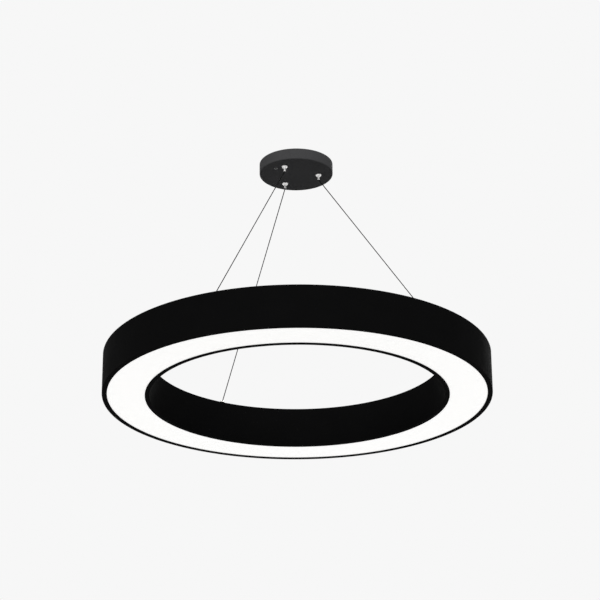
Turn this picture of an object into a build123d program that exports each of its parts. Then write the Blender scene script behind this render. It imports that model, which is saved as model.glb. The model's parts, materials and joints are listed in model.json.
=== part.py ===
from build123d import *
import os
from math import atan2, cos, degrees, hypot, pi, radians, sin, sqrt

# Ring pendant light hung from a round ceiling canopy by three steel wires.
# Millimetres, +Z up. The origin is the centre of the canopy on the ceiling plane,
# and everything hangs below it.

# Ring housing
RING_DIAMETER = 800.0
RING_WIDTH = 97.0
RING_HEIGHT = 85.0
HOOP_WALL = 2.0
OUTER_LIP = 10.5
INNER_LIP = 9.5
LIP_THICKNESS = 1.5
HOOP_EDGE_RADIUS = 0.6
FLANGE_WIDTH = 14.0
FLANGE_THICKNESS = 2.0
COVER_THICKNESS = 1.5
DIFFUSER_THICKNESS = 3.0
SEAT_CLEARANCE = 0.3
COVER_SCREW_COUNT = 6

# Light engine inside the ring
TRAY_THICKNESS = 1.5
TRAY_HEIGHT = 44.0
TRAY_MARGIN = 4.0
PILLAR_FLATS = 8.0
PILLAR_GAP = 4.0
BOARD_COUNT = 6
BOARD_WIDTH = 37.0
BOARD_THICKNESS = 1.6
BOARD_GAP_ANGLE = 2.0
CHIP_LENGTH = 3.5
CHIP_WIDTH = 2.8
CHIP_HEIGHT = 0.8
CHIP_ROW_SPACING = 19.0
CHIPS_PER_ROW = 9
DRIVER_LENGTH = 116.0
DRIVER_WIDTH = 42.0
DRIVER_HEIGHT = 28.0
DRIVER_EDGE_RADIUS = 2.0
DRIVER_CAP_LENGTH = 14.0
DRIVER_CAP_DROP = 5.0
DRIVER_EAR_LENGTH = 12.0
DRIVER_EAR_THICKNESS = 1.6
DRIVER_AZIMUTHS = (90.0, 270.0)

# Small screws, by the radius of the shank and of the head
SCREW_RADIUS = 1.5
SCREW_HEAD_RADIUS = 3.0
SCREW_HEAD_HEIGHT = 1.8
SCREW_GRIP = 6.0
SCREW_HOLE_CLEARANCE = 0.2
THREAD_CLEARANCE = 0.05

# Wire anchors on top of the ring, by their distance from its inner face
ANCHOR_AZIMUTHS = {"a": 240.0, "b": 120.0, "c": 0.0}
ANCHOR_INSET = 34.0
DOME_RADIUS = 13.0
ANCHOR_SHANK_RADIUS = 4.0
ANCHOR_PLATE_LENGTH = 60.0
ANCHOR_PLATE_WIDTH = 30.0
ANCHOR_PLATE_THICKNESS = 3.0
ANCHOR_NUT_FLATS = 13.0
ANCHOR_NUT_HEIGHT = 6.5
ANCHOR_SHANK_SPARE = 2.0
BALL_END_RADIUS = 2.5
BALL_END_HEIGHT = 5.5
BALL_END_BORE = 3.2
BALL_END_PLAY = 0.5
RETAINER_HEAD_RADIUS = 4.6
RETAINER_HEAD_HEIGHT = 3.5
RETAINER_SPOT_FACE = 7.0
RETAINER_FACE_MARGIN = 0.6

# Flex inlet on top of the ring and flex outlet in the canopy
GLAND_AZIMUTH = 228.0
GLAND_THREAD_RADIUS = 6.0
GLAND_FLATS = 15.0
GLAND_BORE = 3.2
GLAND_COLLAR_HEIGHT = 5.0
GLAND_NECK_RADIUS = 5.4
GLAND_NECK_HEIGHT = 6.0
GLAND_SEAL_WALL = 1.6
GLAND_CAP_HEIGHT = 9.0
GLAND_LOCKNUT_HEIGHT = 4.5
GLAND_SHANK_LENGTH = 8.0
OUTLET_AZIMUTH = 217.0
OUTLET_CIRCLE_RADIUS = 54.0
OUTLET_BORE = 1.9
OUTLET_NECK_RADIUS = 2.95
OUTLET_FLANGE_RADIUS = 3.8
OUTLET_FLANGE_HEIGHT = 1.2

# Canopy and ceiling bracket
SUSPENSION_GAP = 425.0
CANOPY_DIAMETER = 157.0
CANOPY_HEIGHT = 24.0
CANOPY_SHEET = 1.2
CANOPY_EDGE_RADIUS = 2.5
BRACKET_WIDTH = 24.0
BRACKET_THICKNESS = 2.0
BRACKET_TAB_DROP = 16.0
BRACKET_SIDE_GAP = 0.4
BRACKET_SLOT_SPACING = 70.0
BRACKET_SLOT_LENGTH = 18.0
BRACKET_SLOT_WIDTH = 5.0
GRUB_RADIUS = 2.0
GRUB_LENGTH = 7.0
GRUB_HEIGHT = 10.0
GRUB_SOCKET = 2.0
EARTH_SCREW_RADIUS = 2.0
EARTH_SCREW_HEAD_RADIUS = 3.5
EARTH_SCREW_HEAD_HEIGHT = 2.2
EARTH_SCREW_POSITION = 20.5

# Screw terminal blocks, one in the canopy and one on the tray
TERMINAL_POLES = 3
TERMINAL_PITCH = 10.0
TERMINAL_WIDTH = 18.0
TERMINAL_HEIGHT = 12.0
TERMINAL_BORE = 2.0
TERMINAL_BORE_HEIGHT = 5.0
TERMINAL_SCREW_RADIUS = 1.4
TERMINAL_SCREW_SPREAD = 10.0
TERMINAL_FIXING_RADIUS = 1.3
TERMINAL_FIXING_HEAD_RADIUS = 2.2
TERMINAL_FIXING_HEAD_HEIGHT = 2.0

# Wire grippers in the canopy
GRIPPER_CIRCLE_RADIUS = 48.0
GRIPPER_HEAD_RADIUS = 6.25
GRIPPER_HEAD_RIM = 1.0
GRIPPER_HEAD_HEIGHT = 4.5
GRIPPER_NOSE_RADIUS = 3.4
GRIPPER_SHANK_RADIUS = 4.0
GRIPPER_SHANK_LENGTH = 13.0
GRIPPER_CHAMBER_RADIUS = 3.2
GRIPPER_TAPER_HEIGHT = 5.0
GRIPPER_CAP_THICKNESS = 2.0
GRIPPER_WASHER_THICKNESS = 0.8
GRIPPER_WASHER_RADIUS = 7.8
GRIPPER_NUT_FLATS = 13.0
GRIPPER_NUT_HEIGHT = 4.0
NIPPLE_RADIUS = 2.2
NIPPLE_REACH = 11.5
NIPPLE_EDGE = 0.4
PLUNGER_BORE = 1.2
PLUNGER_CLEARANCE = 0.15
PLUNGER_MOUTH = 0.4
BALL_HEIGHT = 3.0
BALL_CLEARANCE = 0.1
SPRING_WIRE_RADIUS = 0.2
SPRING_RADIUS = 2.3
SPRING_HALF_TURNS = 9

# Suspension wires
WIRE_DIAMETER = 2.0
WIRE_PIVOT_GAP = 0.3
WIRE_TAIL_BEND = 7.5
WIRE_TAIL_LENGTH = 30.0
WIRE_HOLE_CLEARANCE = 0.35
BALL_SWAGE_CLEARANCE = 0.02

# Worked-out radii and levels
OUTER_RADIUS = RING_DIAMETER / 2
INNER_RADIUS = OUTER_RADIUS - RING_WIDTH
MIDDLE_RADIUS = (OUTER_RADIUS + INNER_RADIUS) / 2
ANCHOR_CIRCLE_RADIUS = INNER_RADIUS + ANCHOR_INSET
RING_TOP = -(CANOPY_HEIGHT + SUSPENSION_GAP)
RING_BOTTOM = RING_TOP - RING_HEIGHT
COVER_BOTTOM = RING_HEIGHT - COVER_THICKNESS
FLANGE_BOTTOM = COVER_BOTTOM - FLANGE_THICKNESS
TRAY_TOP = TRAY_HEIGHT + TRAY_THICKNESS
PILLAR_OUTER_RADIUS = OUTER_RADIUS - HOOP_WALL - FLANGE_WIDTH - PILLAR_GAP - PILLAR_FLATS / 2
PILLAR_INNER_RADIUS = INNER_RADIUS + HOOP_WALL + FLANGE_WIDTH + PILLAR_GAP + PILLAR_FLATS / 2
COVER_SCREW_OUTER = OUTER_RADIUS - HOOP_WALL - FLANGE_WIDTH / 2
COVER_SCREW_INNER = INNER_RADIUS + HOOP_WALL + FLANGE_WIDTH / 2
WIRE_RADIUS = WIRE_DIAMETER / 2
CANOPY_RADIUS = CANOPY_DIAMETER / 2
INSERT_MARGIN = HOOP_WALL + SEAT_CLEARANCE
PLUNGER_HOLE = NIPPLE_RADIUS + PLUNGER_CLEARANCE
CAP_BOTTOM = GRIPPER_SHANK_LENGTH - GRIPPER_CAP_THICKNESS
CAP_BORE = WIRE_RADIUS + WIRE_HOLE_CLEARANCE
SCREW_HOLE = SCREW_RADIUS + SCREW_HOLE_CLEARANCE
SCREW_TAP = SCREW_RADIUS + THREAD_CLEARANCE

# The wire runs from the mouth of the nipple to the ball end in the anchor dome
PIVOT_HEIGHT = -CANOPY_HEIGHT - NIPPLE_REACH
BALL_END_LEVEL = RING_TOP + BALL_END_HEIGHT
WIRE_RUN = ANCHOR_CIRCLE_RADIUS - GRIPPER_CIRCLE_RADIUS
WIRE_FALL = PIVOT_HEIGHT - BALL_END_LEVEL
WIRE_SPAN = hypot(WIRE_RUN, WIRE_FALL)
WIRE_LEAN = degrees(atan2(WIRE_RUN, WIRE_FALL))

BASE = (Align.CENTER, Align.CENTER, Align.MIN)
HANG = (Align.CENTER, Align.CENTER, Align.MAX)


def lathe(*profile):
    """Solid of revolution about Z from (radius, height) corners."""
    outline = Polyline(*[(radius, 0, height) for radius, height in profile], close=True)
    return revolve(make_face(outline), Axis.Z)


def rod(radius, low, high):
    """Round bar on the Z axis between two heights."""
    return Pos(0, 0, low) * Cylinder(radius, high - low, align=BASE)


def sleeve(outer, inner, low, high):
    """Round tube on the Z axis between two heights."""
    return lathe((inner, low), (outer, low), (outer, high), (inner, high))


def hexagon(flats, low, high):
    """Hexagonal bar on the Z axis, by the distance across its flats."""
    outline = RegularPolygon(flats / 2, 6, major_radius=False)
    return Pos(0, 0, low) * extrude(outline, high - low)


def bar_between(radius, start, end):
    """Round bar between two points."""
    along = Vector(*end) - Vector(*start)
    return Plane(origin=start, z_dir=along) * Cylinder(radius, along.length, align=BASE)


def out_at(radius, azimuth, shape):
    """A shape made on the Z axis, moved out to a radius and turned to an azimuth."""
    return Rot(0, 0, azimuth) * Pos(radius, 0, 0) * shape


def round_pattern(count, offset=0.0):
    """Evenly spaced azimuths."""
    return [offset + 360.0 * index / count for index in range(count)]


def pan_screw(grip):
    """Pan head screw with its seat at height 0, head up, and a plain shank below."""
    head = rod(SCREW_HEAD_RADIUS, 0, SCREW_HEAD_HEIGHT)
    head = chamfer(head.faces().sort_by(Axis.Z)[-1].edges(), SCREW_HEAD_HEIGHT / 4)
    return head + rod(SCREW_RADIUS, -grip, 0)


def save(name, *shapes):
    """Write one node, with every solid of the shapes given."""
    solids = [solid for shape in shapes for solid in shape.solids()]
    node = solids[0] if len(solids) == 1 else Compound(solids)
    export_step(node, os.path.join("parts", name + ".step"))


# Ring housing, made with its underside at height 0


def hoop(face_radius, lip, inward):
    """Rolled hoop: wall, bottom lip under the diffuser and top flange under the cover.

    inward is -1 for the outer hoop, whose lip and flange point to the axis, and 1 for the inner hoop.
    """
    back = face_radius + inward * HOOP_WALL
    lip_end = face_radius + inward * lip
    flange_end = back + inward * FLANGE_WIDTH
    edge = inward * HOOP_EDGE_RADIUS
    return lathe(
        (face_radius + edge, 0),
        (lip_end, 0),
        (lip_end, LIP_THICKNESS),
        (back, LIP_THICKNESS),
        (back, FLANGE_BOTTOM),
        (flange_end, FLANGE_BOTTOM),
        (flange_end, COVER_BOTTOM),
        (back, COVER_BOTTOM),
        (back, RING_HEIGHT),
        (face_radius + edge, RING_HEIGHT),
        (face_radius, RING_HEIGHT - HOOP_EDGE_RADIUS),
        (face_radius, HOOP_EDGE_RADIUS),
    )


def cover_screw_places():
    """(radius, azimuth) of each screw that holds the cover to the hoop flanges."""
    half_step = 180.0 / COVER_SCREW_COUNT
    azimuths = round_pattern(COVER_SCREW_COUNT, half_step)
    return [(r, a) for r in (COVER_SCREW_OUTER, COVER_SCREW_INNER) for a in azimuths]


def pillar_places():
    """(radius, azimuth) of each pillar from the cover to the tray, the inner ones between the anchors."""
    count = len(ANCHOR_AZIMUTHS)
    outer = [(PILLAR_OUTER_RADIUS, a) for a in round_pattern(2 * count)]
    inner = [(PILLAR_INNER_RADIUS, a + 180.0 / count) for a in ANCHOR_AZIMUTHS.values()]
    return outer + inner


def tapped_hoop(face_radius, lip, inward, screw_radius):
    """A hoop with the screw holes in its top flange."""
    shape = hoop(face_radius, lip, inward)
    for radius, azimuth in cover_screw_places():
        if radius == screw_radius:
            shape -= out_at(radius, azimuth, rod(SCREW_TAP, FLANGE_BOTTOM, COVER_BOTTOM))
    return shape


def top_cover():
    """Flat ring plate that sits on the hoop flanges, flush with the hoops' top edges."""
    plate = sleeve(OUTER_RADIUS - INSERT_MARGIN, INNER_RADIUS + INSERT_MARGIN, COVER_BOTTOM, RING_HEIGHT)
    for radius, azimuth in cover_screw_places() + pillar_places():
        plate -= out_at(radius, azimuth, rod(SCREW_HOLE, COVER_BOTTOM, RING_HEIGHT))
    shank_hole = rod(ANCHOR_SHANK_RADIUS + SCREW_HOLE_CLEARANCE, COVER_BOTTOM, RING_HEIGHT)
    for azimuth in ANCHOR_AZIMUTHS.values():
        plate -= out_at(ANCHOR_CIRCLE_RADIUS, azimuth, shank_hole)
    gland_hole = rod(GLAND_THREAD_RADIUS + SCREW_HOLE_CLEARANCE, COVER_BOTTOM, RING_HEIGHT)
    return plate - out_at(MIDDLE_RADIUS, GLAND_AZIMUTH, gland_hole)


def diffuser():
    """Opal ring that lies on the two bottom lips."""
    return sleeve(
        OUTER_RADIUS - INSERT_MARGIN,
        INNER_RADIUS + INSERT_MARGIN,
        LIP_THICKNESS,
        LIP_THICKNESS + DIFFUSER_THICKNESS,
    )


def ring_housing():
    """The hoops, the cover, the diffuser and the cover's screws, as node names and shapes."""
    screw = Pos(0, 0, RING_HEIGHT) * pan_screw(SCREW_GRIP)
    return {
        "outer_hoop": [tapped_hoop(OUTER_RADIUS, OUTER_LIP, -1, COVER_SCREW_OUTER)],
        "inner_hoop": [tapped_hoop(INNER_RADIUS, INNER_LIP, 1, COVER_SCREW_INNER)],
        "top_cover": [top_cover()],
        "diffuser": [diffuser()],
        "cover_screws": [out_at(r, a, screw) for r, a in cover_screw_places()],
    }


# Light engine inside the ring


def board_screw_places():
    """(radius, azimuth) of the two screws that hold each board to the tray."""
    reach = 180.0 / BOARD_COUNT - BOARD_GAP_ANGLE / 2 - degrees(2 * SCREW_HEAD_RADIUS / MIDDLE_RADIUS)
    azimuths = round_pattern(BOARD_COUNT, 180.0 / BOARD_COUNT)
    return [(MIDDLE_RADIUS, a + side * reach) for a in azimuths for side in (-1, 1)]


def led_board():
    """One arc-shaped board about azimuth 0, with its two screw holes."""
    half_angle = 180.0 / BOARD_COUNT - BOARD_GAP_ANGLE / 2
    inner, outer = MIDDLE_RADIUS - BOARD_WIDTH / 2, MIDDLE_RADIUS + BOARD_WIDTH / 2
    section = Pos(MIDDLE_RADIUS, 0, TRAY_HEIGHT - BOARD_THICKNESS / 2) * Rot(90, 0, 0) * Rectangle(
        outer - inner, BOARD_THICKNESS
    )
    return Rot(0, 0, -half_angle) * revolve(section, Axis.Z, 2 * half_angle)


def led_boards():
    """Six boards screwed under the tray."""
    boards = [Rot(0, 0, a) * led_board() for a in round_pattern(BOARD_COUNT, 180.0 / BOARD_COUNT)]
    hole = rod(SCREW_HOLE, TRAY_HEIGHT - BOARD_THICKNESS, TRAY_HEIGHT)
    holes = [out_at(r, a, hole) for r, a in board_screw_places()]
    return [board - holes[2 * i] - holes[2 * i + 1] for i, board in enumerate(boards)]


def led_chips():
    """Two rows of light-emitting packages under each board."""
    level = TRAY_HEIGHT - BOARD_THICKNESS
    chip = Pos(0, 0, level) * Box(CHIP_WIDTH, CHIP_LENGTH, CHIP_HEIGHT, align=HANG)
    step = (360.0 / BOARD_COUNT - BOARD_GAP_ANGLE) / (CHIPS_PER_ROW + 1)
    offsets = [step * (i - (CHIPS_PER_ROW - 1) / 2) for i in range(CHIPS_PER_ROW)]
    rows = [MIDDLE_RADIUS + side * CHIP_ROW_SPACING / 2 for side in (-1, 1)]
    boards = round_pattern(BOARD_COUNT, 180.0 / BOARD_COUNT)
    return [out_at(r, a + offset, chip) for r in rows for a in boards for offset in offsets]


def led_tray():
    """Ring plate that carries the boards below and the drivers above."""
    margin = HOOP_WALL + TRAY_MARGIN
    plate = sleeve(OUTER_RADIUS - margin, INNER_RADIUS + margin, TRAY_HEIGHT, TRAY_TOP)
    for radius, azimuth in pillar_places():
        plate -= out_at(radius, azimuth, rod(SCREW_HOLE, TRAY_HEIGHT, TRAY_TOP))
    for radius, azimuth in board_screw_places():
        plate -= out_at(radius, azimuth, rod(SCREW_TAP, TRAY_HEIGHT, TRAY_TOP))
    for azimuth in DRIVER_AZIMUTHS:
        for place in driver_ear_places():
            plate -= out_at(MIDDLE_RADIUS, azimuth, Pos(0, place, 0) * rod(SCREW_TAP, TRAY_HEIGHT, TRAY_TOP))
    fixing = rod(TERMINAL_FIXING_RADIUS + THREAD_CLEARANCE, TRAY_HEIGHT, TRAY_TOP)
    return plate - out_at(MIDDLE_RADIUS, gear_terminal_azimuth(), Pos(*terminal_fixing_place()) * fixing)


def tray_pillars():
    """Hexagonal tapped pillars between the cover and the tray."""
    pillar = hexagon(PILLAR_FLATS, TRAY_TOP, COVER_BOTTOM) - rod(SCREW_TAP, TRAY_TOP, COVER_BOTTOM)
    return [out_at(r, a, pillar) for r, a in pillar_places()]


def pillar_screws():
    """A screw through the cover and one through the tray for each pillar."""
    upper = Pos(0, 0, RING_HEIGHT) * pan_screw(SCREW_GRIP + COVER_THICKNESS)
    lower = Pos(0, 0, TRAY_HEIGHT) * Rot(180, 0, 0) * pan_screw(SCREW_GRIP + TRAY_THICKNESS)
    return [out_at(r, a, screw) for r, a in pillar_places() for screw in (upper, lower)]


def board_screws():
    """Screws up through the boards into the tray."""
    grip = BOARD_THICKNESS + TRAY_THICKNESS
    screw = Pos(0, 0, TRAY_HEIGHT - BOARD_THICKNESS) * Rot(180, 0, 0) * pan_screw(grip)
    return [out_at(r, a, screw) for r, a in board_screw_places()]


def driver_ear_places():
    """Distance of each ear's screw from the middle of a driver, along it."""
    reach = DRIVER_LENGTH / 2 + DRIVER_CAP_LENGTH + DRIVER_EAR_LENGTH / 2
    return (-reach, reach)


def driver_case():
    """Closed driver case with a foot plate whose ears carry the fixing screws."""
    block = Box(DRIVER_WIDTH, DRIVER_LENGTH, DRIVER_HEIGHT, align=BASE)
    block = fillet(block.edges().filter_by(Axis.Y).group_by(Axis.Z)[-1], DRIVER_EDGE_RADIUS)
    foot_length = DRIVER_LENGTH + 2 * (DRIVER_CAP_LENGTH + DRIVER_EAR_LENGTH)
    foot = Box(DRIVER_WIDTH - 2 * DRIVER_EDGE_RADIUS, foot_length, DRIVER_EAR_THICKNESS, align=BASE)
    case = block + foot
    for place in driver_ear_places():
        case -= Pos(0, place, 0) * rod(SCREW_HOLE, 0, DRIVER_EAR_THICKNESS)
    return case


def driver_cap(side):
    """Terminal cover that clips on one end of a driver, with a lead hole in its outer wall."""
    height = DRIVER_HEIGHT - DRIVER_CAP_DROP - DRIVER_EAR_THICKNESS
    middle = side * (DRIVER_LENGTH + DRIVER_CAP_LENGTH) / 2
    cap = Box(DRIVER_WIDTH - 2 * DRIVER_EDGE_RADIUS, DRIVER_CAP_LENGTH, height, align=BASE)
    cap = fillet(cap.edges().filter_by(Axis.Y).group_by(Axis.Z)[-1], DRIVER_EDGE_RADIUS)
    hole = Pos(0, 0, height / 2) * Rot(90, 0, 0) * Cylinder(TERMINAL_BORE, 2 * DRIVER_CAP_LENGTH)
    return Pos(0, middle, DRIVER_EAR_THICKNESS) * (cap - hole)


def on_tray(azimuth, shape):
    """A shape made at height 0, stood on the tray at an azimuth."""
    return out_at(MIDDLE_RADIUS, azimuth, Pos(0, 0, TRAY_TOP) * shape)


def drivers():
    """Two drivers on the tray, opposite each other so that the ring hangs level."""
    nodes = {}
    caps, screws = [], []
    for letter, azimuth in zip("ab", DRIVER_AZIMUTHS):
        nodes["driver_case_" + letter] = [on_tray(azimuth, driver_case())]
        caps += [on_tray(azimuth, driver_cap(side)) for side in (-1, 1)]
        screw = Pos(0, 0, DRIVER_EAR_THICKNESS) * pan_screw(DRIVER_EAR_THICKNESS + TRAY_THICKNESS)
        screws += [on_tray(azimuth, Pos(0, place, 0) * screw) for place in driver_ear_places()]
    nodes["driver_end_caps"] = caps
    nodes["driver_screws"] = screws
    return nodes


# Screw terminal block, made with its foot at height 0


def terminal_pole_places():
    """Offset of each pole along the block."""
    return [TERMINAL_PITCH * (i - (TERMINAL_POLES - 1) / 2) for i in range(TERMINAL_POLES)]


def terminal_screw_places():
    """(along, across) of each clamping screw."""
    return [(x, side * TERMINAL_SCREW_SPREAD / 2) for x in terminal_pole_places() for side in (-1, 1)]


def terminal_fixing_place():
    """Place of the fixing screw, between two poles."""
    return (terminal_pole_places()[0] + TERMINAL_PITCH / 2, 0, 0)


def terminal_bore(radius, length):
    """Bar across the block at the height of the wire entries."""
    return Pos(0, 0, TERMINAL_BORE_HEIGHT) * Rot(90, 0, 0) * Cylinder(radius, length)


def terminal_block(foot_thickness):
    """Block body, brass tubes, clamping screws and the fixing screw that reaches through the foot plate."""
    body = Box(TERMINAL_POLES * TERMINAL_PITCH, TERMINAL_WIDTH, TERMINAL_HEIGHT, align=BASE)
    tube_outer = TERMINAL_BORE - THREAD_CLEARANCE
    tube = terminal_bore(tube_outer, TERMINAL_WIDTH) - terminal_bore(TERMINAL_SCREW_RADIUS, TERMINAL_WIDTH)
    well = rod(TERMINAL_SCREW_RADIUS + THREAD_CLEARANCE, TERMINAL_BORE_HEIGHT, TERMINAL_HEIGHT)
    screw = rod(TERMINAL_SCREW_RADIUS, TERMINAL_BORE_HEIGHT, TERMINAL_HEIGHT - TERMINAL_SCREW_RADIUS)
    for x in terminal_pole_places():
        body -= Pos(x, 0, 0) * terminal_bore(TERMINAL_BORE, TERMINAL_WIDTH)
    for x, y in terminal_screw_places():
        body -= Pos(x, y, 0) * well
    for side in (-1, 1):
        tube -= Pos(0, side * TERMINAL_SCREW_SPREAD / 2, 0) * well
    head_seat = TERMINAL_HEIGHT - TERMINAL_FIXING_HEAD_HEIGHT
    place = Pos(*terminal_fixing_place())
    body -= place * rod(TERMINAL_FIXING_RADIUS + THREAD_CLEARANCE, 0, TERMINAL_HEIGHT)
    body -= place * rod(TERMINAL_FIXING_HEAD_RADIUS + THREAD_CLEARANCE, head_seat, TERMINAL_HEIGHT)
    fixing = rod(TERMINAL_FIXING_HEAD_RADIUS, head_seat, TERMINAL_HEIGHT)
    fixing += rod(TERMINAL_FIXING_RADIUS, -foot_thickness, head_seat)
    return {
        "block": [body],
        "tubes": [Pos(x, 0, 0) * tube for x in terminal_pole_places()],
        "screws": [Pos(x, y, 0) * screw for x, y in terminal_screw_places()],
        "fixing_screw": [place * fixing],
    }


def gear_terminal_azimuth():
    """The ring's own block stands on the tray on the far side of the gland from the driver."""
    return GLAND_AZIMUTH - degrees(TERMINAL_POLES * TERMINAL_PITCH / MIDDLE_RADIUS)


def light_engine():
    """Everything between the cover and the diffuser."""
    nodes = {
        "led_tray": [led_tray()],
        "tray_pillars": tray_pillars(),
        "pillar_screws": pillar_screws(),
        "led_boards": led_boards(),
        "led_chips": led_chips(),
        "board_screws": board_screws(),
    }
    nodes.update(drivers())
    for piece, shapes in terminal_block(TRAY_THICKNESS).items():
        nodes["gear_terminal_" + piece] = [on_tray(gear_terminal_azimuth(), shape) for shape in shapes]
    return nodes


# Wire anchors and flex gland on top of the ring


def wire_point(distance):
    """Point on the wire's line at azimuth 0, by its distance above the ball end, in the ring's frame."""
    lean = radians(WIRE_LEAN)
    level = RING_HEIGHT + BALL_END_HEIGHT + distance * cos(lean)
    return (ANCHOR_CIRCLE_RADIUS - distance * sin(lean), 0, level)


def along_wire(start, end, radius):
    """Bar along the wire's line between two distances above the ball end."""
    return bar_between(radius, wire_point(start), wire_point(end))


def anchor_dome():
    """Dome with a bore that leans along the wire, and a shank down through the cover."""
    past_dome = 2 * DOME_RADIUS
    dome = Sphere(DOME_RADIUS) & Box(past_dome, past_dome, DOME_RADIUS, align=BASE)
    shank_length = COVER_THICKNESS + ANCHOR_PLATE_THICKNESS + ANCHOR_NUT_HEIGHT + ANCHOR_SHANK_SPARE
    dome += rod(ANCHOR_SHANK_RADIUS, -shank_length, 0)
    dome = Pos(ANCHOR_CIRCLE_RADIUS, 0, RING_HEIGHT) * dome
    dome -= along_wire(-BALL_END_BORE, past_dome, BALL_END_BORE)
    return dome - along_wire(RETAINER_SPOT_FACE, past_dome, RETAINER_HEAD_RADIUS + RETAINER_FACE_MARGIN)


def anchor_retainer():
    """Hollow screw that traps the ball end in the dome."""
    head_end = RETAINER_SPOT_FACE + RETAINER_HEAD_HEIGHT
    seat = BALL_END_RADIUS + BALL_END_PLAY
    thread = along_wire(seat, RETAINER_SPOT_FACE, BALL_END_BORE - THREAD_CLEARANCE)
    head = along_wire(RETAINER_SPOT_FACE, head_end, RETAINER_HEAD_RADIUS)
    return thread + head - along_wire(0, 2 * head_end, WIRE_RADIUS + WIRE_HOLE_CLEARANCE)


def anchor_plate():
    """Steel plate under the cover that spreads the pull of the wire."""
    low = COVER_BOTTOM - ANCHOR_PLATE_THICKNESS
    plate = Box(ANCHOR_PLATE_WIDTH, ANCHOR_PLATE_LENGTH, ANCHOR_PLATE_THICKNESS, align=BASE)
    hole = rod(ANCHOR_SHANK_RADIUS + SCREW_HOLE_CLEARANCE, 0, ANCHOR_PLATE_THICKNESS)
    return Pos(ANCHOR_CIRCLE_RADIUS, 0, low) * (plate - hole)


def anchor_nut():
    """Nut under the plate."""
    high = COVER_BOTTOM - ANCHOR_PLATE_THICKNESS
    low = high - ANCHOR_NUT_HEIGHT
    nut = hexagon(ANCHOR_NUT_FLATS, low, high) - rod(ANCHOR_SHANK_RADIUS + THREAD_CLEARANCE, low, high)
    return Pos(ANCHOR_CIRCLE_RADIUS, 0, 0) * nut


def anchors():
    """The three wire anchors."""
    pieces = {
        "anchor_domes": anchor_dome(),
        "anchor_retainers": anchor_retainer(),
        "anchor_plates": anchor_plate(),
        "anchor_nuts": anchor_nut(),
    }
    return {
        name: [Rot(0, 0, azimuth) * shape for azimuth in ANCHOR_AZIMUTHS.values()]
        for name, shape in pieces.items()
    }


def flex_gland():
    """Cable gland: threaded body, rubber seal, domed cap nut and locknut, on the cover."""
    collar_top = RING_HEIGHT + GLAND_COLLAR_HEIGHT
    neck_top = collar_top + GLAND_NECK_HEIGHT
    shank_bottom = COVER_BOTTOM - GLAND_SHANK_LENGTH
    seal_radius = GLAND_BORE + GLAND_SEAL_WALL
    body = hexagon(GLAND_FLATS, RING_HEIGHT, collar_top)
    body += rod(GLAND_THREAD_RADIUS, shank_bottom, RING_HEIGHT)
    body += rod(GLAND_NECK_RADIUS, collar_top, neck_top)
    body -= rod(GLAND_BORE, shank_bottom, neck_top)
    body -= rod(seal_radius, collar_top, neck_top)
    seal = sleeve(seal_radius - THREAD_CLEARANCE, GLAND_BORE, collar_top, neck_top)
    cap_top = collar_top + GLAND_CAP_HEIGHT
    cap = hexagon(GLAND_FLATS, collar_top, cap_top)
    cap &= lathe(
        (0, collar_top),
        (GLAND_FLATS, collar_top),
        (GLAND_FLATS / 2, cap_top - GLAND_CAP_HEIGHT / 4),
        (GLAND_NECK_RADIUS, cap_top),
        (0, cap_top),
    )
    cap -= rod(GLAND_NECK_RADIUS + THREAD_CLEARANCE, collar_top, neck_top)
    cap -= rod(GLAND_BORE, collar_top, cap_top)
    locknut_bottom = COVER_BOTTOM - GLAND_LOCKNUT_HEIGHT
    locknut = hexagon(GLAND_FLATS + GLAND_SEAL_WALL, locknut_bottom, COVER_BOTTOM)
    locknut -= rod(GLAND_THREAD_RADIUS + THREAD_CLEARANCE, locknut_bottom, COVER_BOTTOM)
    pieces = {"gland_body": body, "gland_seal": seal, "gland_cap": cap, "gland_locknut": locknut}
    return {name: [out_at(MIDDLE_RADIUS, GLAND_AZIMUTH, shape)] for name, shape in pieces.items()}


# Canopy and ceiling bracket, made at their real place under the ceiling plane


def canopy_cup():
    """Drawn cup with holes for the grippers, the flex outlet and the side grub screws."""
    inner_radius = CANOPY_RADIUS - CANOPY_SHEET
    outside = Cylinder(CANOPY_RADIUS, CANOPY_HEIGHT, align=HANG)
    outside = fillet(outside.faces().sort_by(Axis.Z)[0].edges(), CANOPY_EDGE_RADIUS)
    inside = Cylinder(inner_radius, CANOPY_HEIGHT - CANOPY_SHEET, align=HANG)
    inside = fillet(inside.faces().sort_by(Axis.Z)[0].edges(), CANOPY_EDGE_RADIUS - CANOPY_SHEET)
    cup = outside - inside
    floor = (-CANOPY_HEIGHT, CANOPY_SHEET - CANOPY_HEIGHT)
    for azimuth in ANCHOR_AZIMUTHS.values():
        hole = rod(GRIPPER_SHANK_RADIUS + SCREW_HOLE_CLEARANCE, *floor)
        cup -= out_at(GRIPPER_CIRCLE_RADIUS, azimuth, hole)
    cup -= out_at(OUTLET_CIRCLE_RADIUS, OUTLET_AZIMUTH, rod(OUTLET_NECK_RADIUS + THREAD_CLEARANCE, *floor))
    side_hole = Rot(0, 90, 0) * Cylinder(GRUB_RADIUS + SCREW_HOLE_CLEARANCE, CANOPY_DIAMETER)
    return cup - Pos(0, 0, -GRUB_HEIGHT) * side_hole


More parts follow.
